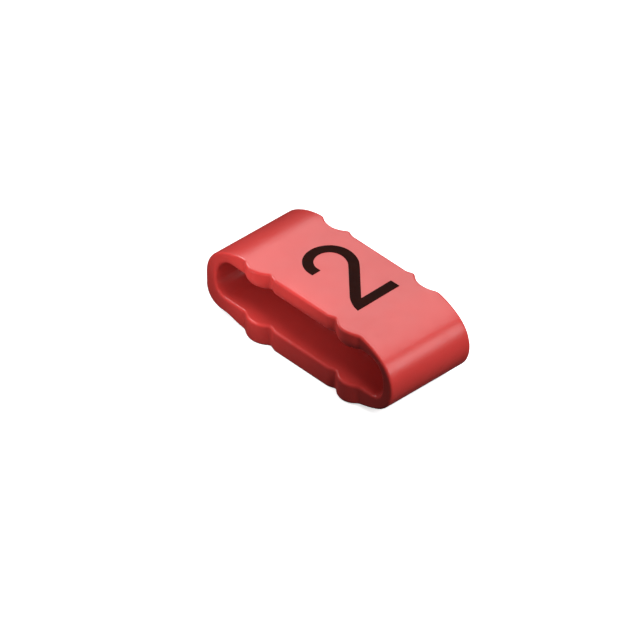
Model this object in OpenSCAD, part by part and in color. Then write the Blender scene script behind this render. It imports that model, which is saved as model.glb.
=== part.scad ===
// Slip-on cable marker: a flattened soft PVC sleeve that is threaded on a cable tie.
// Markers stand side by side on the tie; tabs on the front edge key into the back edge of the next one.
// X runs along the sleeve's wide side, Y along the tie passage towards the back, Z up from the table.

/* [Tie passage] */
// Widest cable tie that passes
tie_width = 9; // [6:0.1:12]
// Thickest cable tie that passes
tie_thickness = 1.8; // [1:0.1:2.4]
// Play of the tie across its width
width_play = 1.2; // [0.3:0.1:2]
// Play of the tie across its thickness
thickness_play = 0.05; // [0.05:0.05:0.4]
// Radius of the passage's two corners at the floor
floor_corner = 0.65; // [0.3:0.05:0.8]

/* [Sleeve] */
// Wall over the passage
roof_wall = 0.88; // [0.5:0.02:1.4]
// Wall under the passage
floor_wall = 1.07; // [0.5:0.01:1.6]
// Wall at the two ends of the passage
end_wall = 0.6; // [0.3:0.05:1.2]
// How far the tops of the round ends stay below the flat lands
end_drop = 0.33; // [0.1:0.01:0.5]
// How far the top's shoulders run in from the centres of the round ends
top_shoulder = 1.05; // [0.6:0.05:2.4]
// How far the underside's shoulders run in from the centres of the round ends
bottom_shoulder = 1.65; // [0.6:0.05:2.4]
// Distance from one marker to the next along the tie
pitch = 4.55; // [3.5:0.05:7]

/* [Keying edges] */
// Radius of the round tabs on the front edge
tab_radius = 1.05; // [0.9:0.05:1.2]
// How far the tabs stand out of the front edge
tab_reach = 0.25; // [0.15:0.01:0.4]
// Distance from the middle of the pattern to each tab
tab_spacing = 2.8; // [2.6:0.05:3]
// How far the middle of the front edge stands out between the tabs
tongue_reach = 0.04; // [0:0.01:0.12]
// Width of the tongue at its root
tongue_width = 4; // [3:0.1:4]
// Length of the tongue's slanted ends
tongue_slant = 0.35; // [0.2:0.05:0.5]
// Depth of the dip between tongue and tab, and so the height of the horn that fills it
horn_reach = 0.09; // [0.04:0.01:0.14]
// How far the pattern sits off the middle of the sleeve
pattern_offset = 0.2; // [0:0.05:0.4]
// Gap between a tab and the notch it keys into
key_gap = 0.03; // [0.01:0.01:0.06]

/* [Hidden] */
$fn = 96;

// Length that runs past any face it cuts
over = 1;
// Least upright side that the passage keeps above its floor corners
side_flat = 0.05;
// Passage through the sleeve, from the tie it takes
slot_width = tie_width + width_play;
slot_height = tie_thickness + thickness_play;
slot_z = floor_wall + slot_height / 2;
// Outer size, from the passage and its walls
length = slot_width + 2 * end_wall;
height = slot_height + roof_wall + floor_wall;
// Round ends
end_radius = height / 2 - end_drop;
end_x = length / 2 - end_radius;
// Depth from the tips of the tabs to the tips of the horns, and the front edge line that centres it
depth = tab_reach + pitch + horn_reach - key_gap;
front_y = tab_reach - depth / 2;

// Radius of the shoulder arc that joins a land to the round ends without a corner
function shoulder_radius(run) = (pow(run, 2) + pow(end_drop, 2)) / (2 * end_drop) + end_radius;
// Where that arc passes into the round end
function shoulder_x(run) = end_x + end_radius * run / (shoulder_radius(run) - end_radius);

// Upper part of the sleeve's outline: the land and its two shoulders, down to the middle line
module land_and_shoulders(run) {
    land = 2 * (end_x - run);
    arc = shoulder_radius(run);
    translate([-land / 2, 0])
        square([land, height / 2]);
    for (side = [-1, 1])
        intersection() {
            translate([side * land / 2, height / 2 - arc])
                circle(arc);
            translate([side * shoulder_x(run) / 2, height / 4])
                square([shoulder_x(run), height / 2], center = true);
        }
}

// Outline of the sleeve seen along the passage, about its middle
module outer_section() {
    square([2 * end_x, end_radius], center = true);
    for (side = [-1, 1])
        translate([side * end_x, 0])
            circle(end_radius);
    land_and_shoulders(top_shoulder);
    mirror([0, 1])
        land_and_shoulders(bottom_shoulder);
}

// Outline of the tie passage, about its middle: round above, with fuller corners at the floor
module slot_section() {
    flat = slot_width - slot_height;
    corner = min(floor_corner, slot_height / 2 - side_flat);
    square([flat, slot_height], center = true);
    for (side = [-1, 1]) {
        translate([side * flat / 2, 0])
            circle(slot_height / 2);
        translate([side * (slot_width / 2 - corner), corner - slot_height / 2])
            circle(corner);
    }
    translate([corner - slot_width / 2, -slot_height / 2])
        square([slot_width - 2 * corner, slot_height / 2]);
    translate([-slot_width / 2, corner - slot_height / 2])
        square([slot_width, slot_height / 2 - corner]);
}

// A section drawn in X and Z, run along Y through the whole depth at a height above the table
module along_passage(z) {
    translate([0, 0, z])
        rotate([90, 0, 0])
            linear_extrude(depth + 2 * over, center = true)
                children();
}

// Everything behind a keyed front edge on the line y = 0, seen from above and grown by a gap
module behind_edge(gap) {
    root = tongue_width / 2;
    tip = root - tongue_slant;
    past_end = length;
    past_back = 2 * depth;
    dip_y = horn_reach - gap;
    translate([pattern_offset, 0]) {
        polygon([
            [-past_end, past_back], [-past_end, -gap], [-tab_spacing, -gap], [-tab_spacing, dip_y], [-root, dip_y],
            [-tip, -tongue_reach - gap], [tip, -tongue_reach - gap],
            [root, dip_y], [tab_spacing, dip_y], [tab_spacing, -gap], [past_end, -gap], [past_end, past_back]
        ]);
        for (side = [-1, 1])
            translate([side * tab_spacing, tab_radius - tab_reach])
                circle(tab_radius + gap);
    }
}

// Outline of the sleeve seen from above: its own front edge, cut off behind by the next marker's
module plan() {
    translate([0, front_y])
        difference() {
            behind_edge(0);
            translate([0, pitch])
                behind_edge(key_gap);
        }
}

module marker_sleeve() {
    color("firebrick")
        difference() {
            intersection() {
                along_passage(height / 2) outer_section();
                translate([0, 0, -over])
                    linear_extrude(height + 2 * over)
                        plan();
            }
            along_passage(slot_z) slot_section();
        }
}

marker_sleeve();
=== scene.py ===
import math

import bmesh
import bpy
from mathutils import Matrix, Vector


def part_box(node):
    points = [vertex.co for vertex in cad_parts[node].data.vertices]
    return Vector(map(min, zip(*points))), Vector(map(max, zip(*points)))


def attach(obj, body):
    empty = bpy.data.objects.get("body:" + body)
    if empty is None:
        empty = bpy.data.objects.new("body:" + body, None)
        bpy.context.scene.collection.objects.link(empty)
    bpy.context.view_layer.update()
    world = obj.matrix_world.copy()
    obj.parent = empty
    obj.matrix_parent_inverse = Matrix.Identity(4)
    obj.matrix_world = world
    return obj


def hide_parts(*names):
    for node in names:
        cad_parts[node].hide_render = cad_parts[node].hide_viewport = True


MM = 0.001

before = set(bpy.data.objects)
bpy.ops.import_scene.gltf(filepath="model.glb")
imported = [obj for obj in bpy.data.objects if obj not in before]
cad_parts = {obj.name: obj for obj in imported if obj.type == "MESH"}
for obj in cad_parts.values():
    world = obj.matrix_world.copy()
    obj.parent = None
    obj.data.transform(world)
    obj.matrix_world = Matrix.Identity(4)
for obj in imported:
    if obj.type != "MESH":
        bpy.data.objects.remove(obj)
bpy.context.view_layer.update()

# Sleeve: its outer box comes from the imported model, the rest are the sizes the model is built from
box_low, box_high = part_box("marker_sleeve")
length = box_high[0] - box_low[0]
height = box_high[2] - box_low[2]
end_drop = 0.33 * MM
top_shoulder = 1.05 * MM
bottom_shoulder = 1.65 * MM
slot_width = 10.2 * MM
slot_height = 1.85 * MM
floor_corner = 0.65 * MM
floor_wall = 1.07 * MM
pitch = 4.55 * MM

# Keyed edges
tab_radius = 1.05 * MM
tab_reach = 0.25 * MM
tab_spacing = 2.8 * MM
tongue_reach = 0.04 * MM
tongue_root = 2.0 * MM
tongue_slant = 0.35 * MM
horn_reach = 0.09 * MM
pattern_offset = 0.2 * MM
key_gap = 0.03 * MM

# Rounding that the soft material shows and the solid leaves sharp
outer_rim_radius = 0.11 * MM
slot_rim_radius = 0.12 * MM
corner_softening = 0.09 * MM

# Soft shape that the solid leaves out: a fuller lower left end, and a roof that leans back over the slot
heel_depth = 0.27 * MM
roof_lean = 0.12 * MM
roof_lean_run = 0.45 * MM

# Print on the top face
ink_height = 0.012 * MM

# Mesh density of the sleeve
wall_step = 0.04 * MM
end_steps = 64
depth_rows = 12
ring_cuts = 7
rim_segments = 5
softening_samples = 9

# Limits that tell the edges of the sleeve's mesh apart
weld_distance = 0.001 * MM
slot_touch = 0.02 * MM
least_ring_width = 0.2 * MM
level_limit = 0.01 * MM
least_rim_angle = math.radians(60)

# Places that follow from the sizes
top_z = height - ink_height
middle_z = top_z / 2
end_radius = middle_z - end_drop
end_x = length / 2 - end_radius
slot_z = floor_wall + slot_height / 2
slot_flat = (slot_width - slot_height) / 2
front_y = box_low[1] + tab_reach


# Shape of the sleeve
def key_edge(x, gap):
    """How far the keyed edge stands out towards the front at x, with sharp corners."""
    across = abs(x - pattern_offset)
    reach = gap
    if across < tab_spacing:
        slope = min(max((tongue_root - across) / tongue_slant, 0), 1)
        reach = gap - horn_reach + slope * (horn_reach + tongue_reach)
    radius = tab_radius + gap
    from_tab = abs(across - tab_spacing)
    if from_tab < radius:
        tab = math.sqrt(radius ** 2 - from_tab ** 2) - (tab_radius - tab_reach)
        reach = max(reach, tab)
    return reach


def soft_key_edge(x, gap):
    """The keyed edge with its corners softened, as the mean over a short window."""
    last = softening_samples - 1
    window = [corner_softening * (2 * i / last - 1) for i in range(softening_samples)]
    return sum(key_edge(x + shift, gap) for shift in window) / softening_samples


def floor_reach(across, down):
    """How far the slot's lower wall is from its core, with a round corner between floor and side."""
    half = slot_height / 2
    inset = half - floor_corner
    reach = half / max(across, down)
    if reach * min(across, down) > inset:
        along = inset * (across + down)
        reach = along + math.sqrt(along ** 2 - 2 * inset ** 2 + floor_corner ** 2)
    return reach


def slot_wall_point(point):
    """The point of the slot's wall that faces a point of the outer skin."""
    core_x = min(max(point.x, -slot_flat), slot_flat)
    away = Vector((point.x - core_x, 0, point.z - slot_z)).normalized()
    reach = slot_height / 2
    if away.z < 0:
        reach = floor_reach(abs(away.x), -away.z)
    return Vector((core_x, point.y, slot_z)) + away * reach


def heel(point):
    """Push the skin outwards at the lower left end, most of all halfway from side to underside."""
    left = -end_x - point.x
    down = middle_z - point.z
    if left > 0 and down > 0:
        away = Vector((-left, 0, -down)).normalized()
        point = point + away * heel_depth * math.sin(2 * math.atan2(down, left)) ** 2
        point.x = max(point.x, -length / 2)
    return point


def lean(point):
    """How far the front edge leans back at a point, which grows towards the slot's ceiling."""
    wall = slot_wall_point(point)
    nearness = max(1 - (point - wall).length / roof_lean_run, 0)
    ceiling = max((wall.z - slot_z) / (slot_height / 2), 0)
    edge_y = front_y - soft_key_edge(point.x, 0)
    shallow = max(1 - (point.y - edge_y) / roof_lean_run, 0)
    return roof_lean * ceiling * nearness ** 2 * min(2 * shallow, 1)


def sweep_round(bm, geom, centre, angle, steps):
    """Turn the last line of the skin about an axis along the passage."""
    swept = bmesh.ops.spin(
        bm, geom=geom, cent=centre, axis=(0, 1, 0), dvec=(0, 0, 0), angle=angle, steps=steps,
    )
    return swept["geom_last"]


def sweep_along(bm, geom, vector, steps):
    """Draw the last line of the skin along a straight run."""
    step = Vector(vector) / steps
    swept = bmesh.ops.spin(bm, geom=geom, cent=(0, 0, 0), axis=(0, 1, 0), dvec=step, angle=0, steps=steps)
    return swept["geom_last"]


def shoulder_arc(run):
    """Radius and angle of the arc that joins a land to the round ends without a corner."""
    past_end = (run ** 2 + end_drop ** 2) / (2 * end_drop)
    return past_end + end_radius, math.asin(run / past_end)


def at_slot(vert):
    return (vert.co - slot_wall_point(vert.co)).length < slot_touch


def is_across_wall(edge):
    """True for the long edges that cross the flat of the wall from rim to rim."""
    along_passage = abs(edge.verts[0].co.y - edge.verts[1].co.y)
    return edge.calc_length() > least_ring_width and along_passage < level_limit


def round_over(bm, edges, radius):
    bmesh.ops.bevel(
        bm, geom=edges, offset=radius, offset_type="OFFSET", segments=rim_segments,
        profile=0.5, affect="EDGES", material=-1, clamp_overlap=False,
    )


def sleeve_mesh():
    bm = bmesh.new()

    # Outer skin: a line along the passage, swept once round the section
    top_edge = end_x - top_shoulder
    bottom_edge = end_x - bottom_shoulder
    top_radius, top_angle = shoulder_arc(top_shoulder)
    bottom_radius, bottom_angle = shoulder_arc(bottom_shoulder)
    top_steps = round(top_radius * top_angle / wall_step)
    bottom_steps = round(bottom_radius * bottom_angle / wall_step)
    end_angle = math.pi - top_angle - bottom_angle
    start = bmesh.ops.create_vert(bm, co=(top_edge, 0, top_z))["vert"]
    sweep_along(bm, start, (0, 1, 0), depth_rows)
    line = list(bm.verts) + list(bm.edges)
    line = sweep_round(bm, line, (top_edge, 0, top_z - top_radius), top_angle, top_steps)
    line = sweep_round(bm, line, (end_x, 0, middle_z), end_angle, end_steps)
    line = sweep_round(bm, line, (bottom_edge, 0, bottom_radius), bottom_angle, bottom_steps)
    line = sweep_along(bm, line, (-2 * bottom_edge, 0, 0), round(2 * bottom_edge / wall_step))
    line = sweep_round(bm, line, (-bottom_edge, 0, bottom_radius), bottom_angle, bottom_steps)
    line = sweep_round(bm, line, (-end_x, 0, middle_z), end_angle, end_steps)
    line = sweep_round(bm, line, (-top_edge, 0, top_z - top_radius), top_angle, top_steps)
    sweep_along(bm, line, (2 * top_edge, 0, 0), round(2 * top_edge / wall_step))
    bmesh.ops.remove_doubles(bm, verts=bm.verts, dist=weld_distance)
    bmesh.ops.recalc_face_normals(bm, faces=bm.faces)

    # Soft heel, and keyed edges: the skin runs from its own front edge to the next marker's
    for vert in bm.verts:
        vert.co = heel(vert.co)
        front = -soft_key_edge(vert.co.x, 0)
        back = pitch - soft_key_edge(vert.co.x, key_gap)
        vert.co.y = front_y + front + (back - front) * vert.co.y

    # Wall: the skin is extruded inwards to the slot
    skin = list(bm.faces)
    grown = bmesh.ops.extrude_face_region(bm, geom=skin, use_keep_orig=True)
    for item in grown["geom"]:
        if isinstance(item, bmesh.types.BMVert):
            item.co = slot_wall_point(item.co)
    bmesh.ops.recalc_face_normals(bm, faces=bm.faces)

    # Rims: the four sharp edge loops are rounded
    rims = [edge for edge in bm.edges if edge.calc_face_angle(0) > least_rim_angle]
    inner = [edge for edge in rims if at_slot(edge.verts[0])]
    outer = [edge for edge in rims if not at_slot(edge.verts[0])]
    round_over(bm, outer, outer_rim_radius)
    round_over(bm, inner, slot_rim_radius)

    # Roof edge: the flat of the wall gets more rows, and leans back over the slot
    across_wall = [edge for edge in bm.edges if is_across_wall(edge)]
    bmesh.ops.subdivide_edges(bm, edges=across_wall, cuts=ring_cuts, use_grid_fill=True)
    for vert in bm.verts:
        vert.co.y += lean(vert.co)
    for face in bm.faces:
        face.smooth = True
    return bm


# Printed digit, drawn flat with a pen of even width, then laid on the top: right is +Y and up is -X there
digit_place = Vector((0.3 * MM, 0.22 * MM, 0))
digit_turn = math.radians(91.3)
stroke = 0.475 * MM
bowl_middle = Vector((0.124 * MM, 1.047 * MM, 0))
bowl_radius = 0.9125 * MM
bowl_steps = 48
hook_drop = 0.152 * MM
cheek_radius = 1.3 * MM
cheek_angle = math.radians(42.8)
cheek_steps = 16
diagonal_run = 2.06 * MM
foot_radius = 1.837 * MM
foot_angle = math.radians(33.8)
foot_steps = 12
crotch_run = 0.185 * MM
bar_end = 1.07 * MM
ink_sink = 0.004 * MM
ink_weld_distance = 0.0001 * MM


def pen_turn(bm, pen, centre, angle, steps):
    """Draw the pen's edge round a centre."""
    drawn = bmesh.ops.spin(
        bm, geom=pen, cent=centre, axis=(0, 0, 1), dvec=(0, 0, 0), angle=angle, steps=steps,
    )
    return drawn["geom_last"]


def pen_run(bm, pen, vector):
    """Draw the pen's edge along a straight run."""
    drawn = bmesh.ops.spin(bm, geom=pen, cent=(0, 0, 0), axis=(0, 0, 1), dvec=vector, angle=0, steps=1)
    return drawn["geom_last"]


def pen_ends(pen):
    """The left and right end of the pen's edge."""
    ends = [item for item in pen if isinstance(item, bmesh.types.BMVert)]
    return sorted(ends, key=lambda vert: vert.co.x)


def pen_edge(pen):
    return [item for item in pen if isinstance(item, bmesh.types.BMEdge)]


def digit_mesh():
    """A plain figure two: hook, bowl, cheek, diagonal, foot and base bar."""
    bm = bmesh.new()
    hook = bowl_middle + Vector((-bowl_radius - stroke / 2, -hook_drop, 0))
    start = bmesh.ops.create_vert(bm, co=hook)["vert"]
    pen_run(bm, start, Vector((stroke, 0, 0)))
    pen = list(bm.verts) + list(bm.edges)
    pen = pen_run(bm, pen, Vector((0, hook_drop, 0)))
    pen = pen_turn(bm, pen, bowl_middle, -math.pi, bowl_steps)
    cheek_middle = bowl_middle + Vector((bowl_radius - cheek_radius, 0, 0))
    pen = pen_turn(bm, pen, cheek_middle, -cheek_angle, cheek_steps)
    heading = Vector((-math.sin(cheek_angle), -math.cos(cheek_angle), 0))
    pen = pen_run(bm, pen, heading * diagonal_run)

    # Foot: the left side curves down to the corner while the right side runs on into the crotch
    towards_middle = Vector((math.cos(cheek_angle), -math.sin(cheek_angle), 0))
    foot_middle = pen_ends(pen)[0].co + towards_middle * foot_radius
    step_turn = Matrix.Rotation(foot_angle / foot_steps, 3, "Z")
    for _ in range(foot_steps):
        pen = bmesh.ops.extrude_edge_only(bm, edges=pen_edge(pen))["geom"]
        left, right = pen_ends(pen)
        bmesh.ops.rotate(bm, verts=[left], cent=foot_middle, matrix=step_turn)
        bmesh.ops.translate(bm, verts=[right], vec=heading * (crotch_run / foot_steps))

    # Base bar: the last edge is drawn out to the right and ends square
    pen = bmesh.ops.extrude_edge_only(bm, edges=pen_edge(pen))["geom"]
    for end in pen_ends(pen):
        end.co.x = bar_end

    # Thickness of the ink, and its place on the sleeve
    bmesh.ops.remove_doubles(bm, verts=bm.verts, dist=ink_weld_distance)
    bmesh.ops.recalc_face_normals(bm, faces=bm.faces)
    grown = bmesh.ops.extrude_face_region(bm, geom=list(bm.faces), use_keep_orig=True)["geom"]
    raised = [item for item in grown if isinstance(item, bmesh.types.BMVert)]
    bmesh.ops.translate(bm, verts=raised, vec=(0, 0, ink_height + ink_sink))
    bmesh.ops.recalc_face_normals(bm, faces=bm.faces)
    bmesh.ops.rotate(bm, verts=bm.verts, cent=(0, 0, 0), matrix=Matrix.Rotation(digit_turn, 3, "Z"))
    bmesh.ops.translate(bm, verts=bm.verts, vec=digit_place + Vector((0, 0, top_z - ink_sink)))
    return bm


def new_piece(name, bm, material):
    mesh = bpy.data.meshes.new(name)
    bm.to_mesh(mesh)
    bm.free()
    mesh.materials.append(material)
    piece = bpy.data.objects.new(name, mesh)
    bpy.context.scene.collection.objects.link(piece)
    return piece


# Soft red PVC: two close reds in a slow mottle, a satin that varies a little, and a faint unevenness
pvc_reds = (0.63, 0.048, 0.043), (0.67, 0.053, 0.048)
pvc_mottle = 1.6 * MM
pvc_roughness = 0.29, 0.35
pvc_satin_patch = 0.5 * MM
pvc_swell = 1.2 * MM
pvc_swell_height = 0.003 * MM
pvc_grain = 0.15 * MM
pvc_grain_height = 0.0004 * MM
pvc_glow_depth = 0.4 * MM

# Black print ink: dull, with a fine grain
ink_blacks = (0.016, 0.002, 0.001), (0.022, 0.003, 0.001)
ink_mottle = 0.4 * MM
ink_roughness = 0.5, 0.62
ink_dull_patch = 0.2 * MM
ink_grain = 0.1 * MM
ink_grain_height = 0.001 * MM

# Pale floor
floor_greys = (0.90, 0.90, 0.90), (0.93, 0.93, 0.93)
floor_mottle = 40 * MM
floor_half_width = 600 * MM
floor_cells = 4

# Part of the noise's range that the colours and the roughness are spread over
noise_low = 0.3
noise_high = 0.7


class Finish:
    """A material whose patterns all read the piece's own object coordinates."""

    def __init__(self, name):
        self.material = bpy.data.materials.new(name)
        self.material.use_nodes = True
        self.nodes = self.material.node_tree.nodes
        self.links = self.material.node_tree.links
        self.shader = self.nodes["Principled BSDF"]
        self.place = self.nodes.new("ShaderNodeTexCoord").outputs["Object"]

    def set(self, **values):
        for socket, value in values.items():
            self.shader.inputs[socket.replace("_", " ")].default_value = value

    def noise(self, size, detail):
        """Soft noise whose lumps are about size across."""
        node = self.nodes.new("ShaderNodeTexNoise")
        node.inputs["Scale"].default_value = 1 / size
        node.inputs["Detail"].default_value = detail
        self.links.new(self.place, node.inputs["Vector"])
        return node.outputs["Fac"]

    def colours(self, factor, low, high):
        ramp = self.nodes.new("ShaderNodeValToRGB")
        ramp.color_ramp.elements[0].position = noise_low
        ramp.color_ramp.elements[0].color = (*low, 1)
        ramp.color_ramp.elements[1].position = noise_high
        ramp.color_ramp.elements[1].color = (*high, 1)
        self.links.new(factor, ramp.inputs["Fac"])
        self.links.new(ramp.outputs["Color"], self.shader.inputs["Base Color"])

    def roughness(self, factor, low, high):
        spread = self.nodes.new("ShaderNodeMapRange")
        spread.inputs["From Min"].default_value = noise_low
        spread.inputs["From Max"].default_value = noise_high
        spread.inputs["To Min"].default_value = low
        spread.inputs["To Max"].default_value = high
        self.links.new(factor, spread.inputs["Value"])
        self.links.new(spread.outputs["Result"], self.shader.inputs["Roughness"])

    def bumps(self, *layers):
        """Stack bumps on the shader's normal, each a pair of a pattern and its height."""
        normal = None
        for factor, height_of_bump in layers:
            bump = self.nodes.new("ShaderNodeBump")
            bump.inputs["Strength"].default_value = 1
            bump.inputs["Distance"].default_value = height_of_bump
            self.links.new(factor, bump.inputs["Height"])
            if normal:
                self.links.new(normal, bump.inputs["Normal"])
            normal = bump.outputs["Normal"]
        self.links.new(normal, self.shader.inputs["Normal"])


def soft_red_pvc():
    finish = Finish("soft_red_pvc")
    finish.colours(finish.noise(pvc_mottle, detail=2), *pvc_reds)
    finish.roughness(finish.noise(pvc_satin_patch, detail=2), *pvc_roughness)
    swell = finish.noise(pvc_swell, detail=1)
    grain = finish.noise(pvc_grain, detail=0)
    finish.bumps((swell, pvc_swell_height), (grain, pvc_grain_height))
    finish.set(
        IOR=1.53,
        Specular_IOR_Level=0.8,
        Subsurface_Weight=0.15,
        Subsurface_Radius=(1.0, 0.25, 0.2),
        Subsurface_Scale=pvc_glow_depth,
    )
    return finish.material


def black_print_ink():
    finish = Finish("black_print_ink")
    finish.colours(finish.noise(ink_mottle, detail=3), *ink_blacks)
    finish.roughness(finish.noise(ink_dull_patch, detail=2), *ink_roughness)
    finish.bumps((finish.noise(ink_grain, detail=2), ink_grain_height))
    finish.set(IOR=1.45, Specular_IOR_Level=0.06)
    return finish.material


def pale_floor():
    finish = Finish("pale_floor")
    finish.colours(finish.noise(floor_mottle, detail=2), *floor_greys)
    finish.set(
        Roughness=0.9,
        Specular_IOR_Level=0.1,
        Emission_Color=(1, 1, 1, 1),
        Emission_Strength=0.7,
    )
    return finish.material


# Pieces
sleeve = new_piece("sleeve", sleeve_mesh(), soft_red_pvc())
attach(sleeve, "root")
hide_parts("marker_sleeve")

digit = new_piece("printed_digit", digit_mesh(), black_print_ink())
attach(digit, "root")

# Floor, which throws no light of its own on the sleeve
floor_bm = bmesh.new()
bmesh.ops.create_grid(floor_bm, x_segments=floor_cells, y_segments=floor_cells, size=floor_half_width)
floor = new_piece("floor", floor_bm, pale_floor())
floor.visible_diffuse = False
floor.visible_glossy = False


# Camera: where it stands round the object, and the pixel of the picture that it aims at
view_azimuth = math.radians(46.99)
view_elevation = math.radians(37.74)
view_aim = Vector((0, 0.07 * MM, 1.9 * MM))
view_distance = 418 * MM
nearest_view = 10 * MM
picture_width = 640
focal_pixels = 10000
aim_pixel = (337.4, 308.4)


def from_aim(azimuth, elevation):
    """The direction from the object towards a place round it; azimuth 0 is in front."""
    flat = math.cos(elevation)
    return Vector((math.sin(azimuth) * flat, -math.cos(azimuth) * flat, math.sin(elevation)))


def facing(direction):
    return (-direction).to_track_quat("-Z", "Y").to_euler()


def add_camera():
    data = bpy.data.cameras.new("camera")
    data.sensor_width = 36
    data.lens = data.sensor_width * focal_pixels / picture_width
    data.clip_start = nearest_view
    data.shift_x = 0.5 - aim_pixel[0] / picture_width
    data.shift_y = aim_pixel[1] / picture_width - 0.5
    camera = bpy.data.objects.new("camera", data)
    towards = from_aim(view_azimuth, view_elevation)
    camera.location = view_aim + towards * view_distance
    camera.rotation_euler = facing(towards)
    bpy.context.scene.collection.objects.link(camera)
    bpy.context.scene.camera = camera


# Light
softbox_distance = 300 * MM
front_lamp_size = 2.5 * MM
world_strength = 0.03


def add_lamp(name, place, aim, size, watts, highlight):
    """A round soft lamp; one without a highlight only brightens the paint."""
    data = bpy.data.lights.new(name, "AREA")
    data.shape = "DISK"
    data.size = size
    data.energy = watts
    lamp = bpy.data.objects.new(name, data)
    lamp.location = place
    lamp.rotation_euler = facing((place - aim).normalized())
    lamp.visible_camera = False
    lamp.visible_glossy = highlight
    bpy.context.scene.collection.objects.link(lamp)


def add_softbox(name, azimuth, elevation, size, watts, highlight=True):
    towards = from_aim(math.radians(azimuth), math.radians(elevation))
    add_lamp(name, view_aim + towards * softbox_distance, view_aim, size, watts, highlight)


def add_front_lamp(name, place, watts, highlight=False):
    """A small lamp near the front edge, aimed half as far out; its light fades along the edge."""
    aim = Vector((place.x / 2, front_y, middle_z))
    add_lamp(name, place, aim, front_lamp_size, watts, highlight)


def add_world():
    world = bpy.data.worlds.new("studio")
    world.use_nodes = True
    background = world.node_tree.nodes["Background"]
    background.inputs["Color"].default_value = (1, 1, 1, 1)
    background.inputs["Strength"].default_value = world_strength
    bpy.context.scene.world = world


add_camera()
add_softbox("right_back", azimuth=120, elevation=25, size=150 * MM, watts=0.16)
add_softbox("overhead", azimuth=167, elevation=60, size=220 * MM, watts=0.265)
add_softbox("left_back", azimuth=227, elevation=45, size=220 * MM, watts=0.235)
add_softbox("right_fill", azimuth=90, elevation=48, size=150 * MM, watts=0.66, highlight=False)
add_front_lamp("left_key", place=Vector((-8.5, -3, 8.4)) * MM, watts=0.000185, highlight=True)
add_front_lamp("front_left", place=Vector((-4, -5.5, 3)) * MM, watts=0.000125)
add_front_lamp("front_middle", place=Vector((0.3, -4.6, 4.8)) * MM, watts=0.00006)
add_world()
bpy.context.scene.view_settings.view_transform = "Standard"
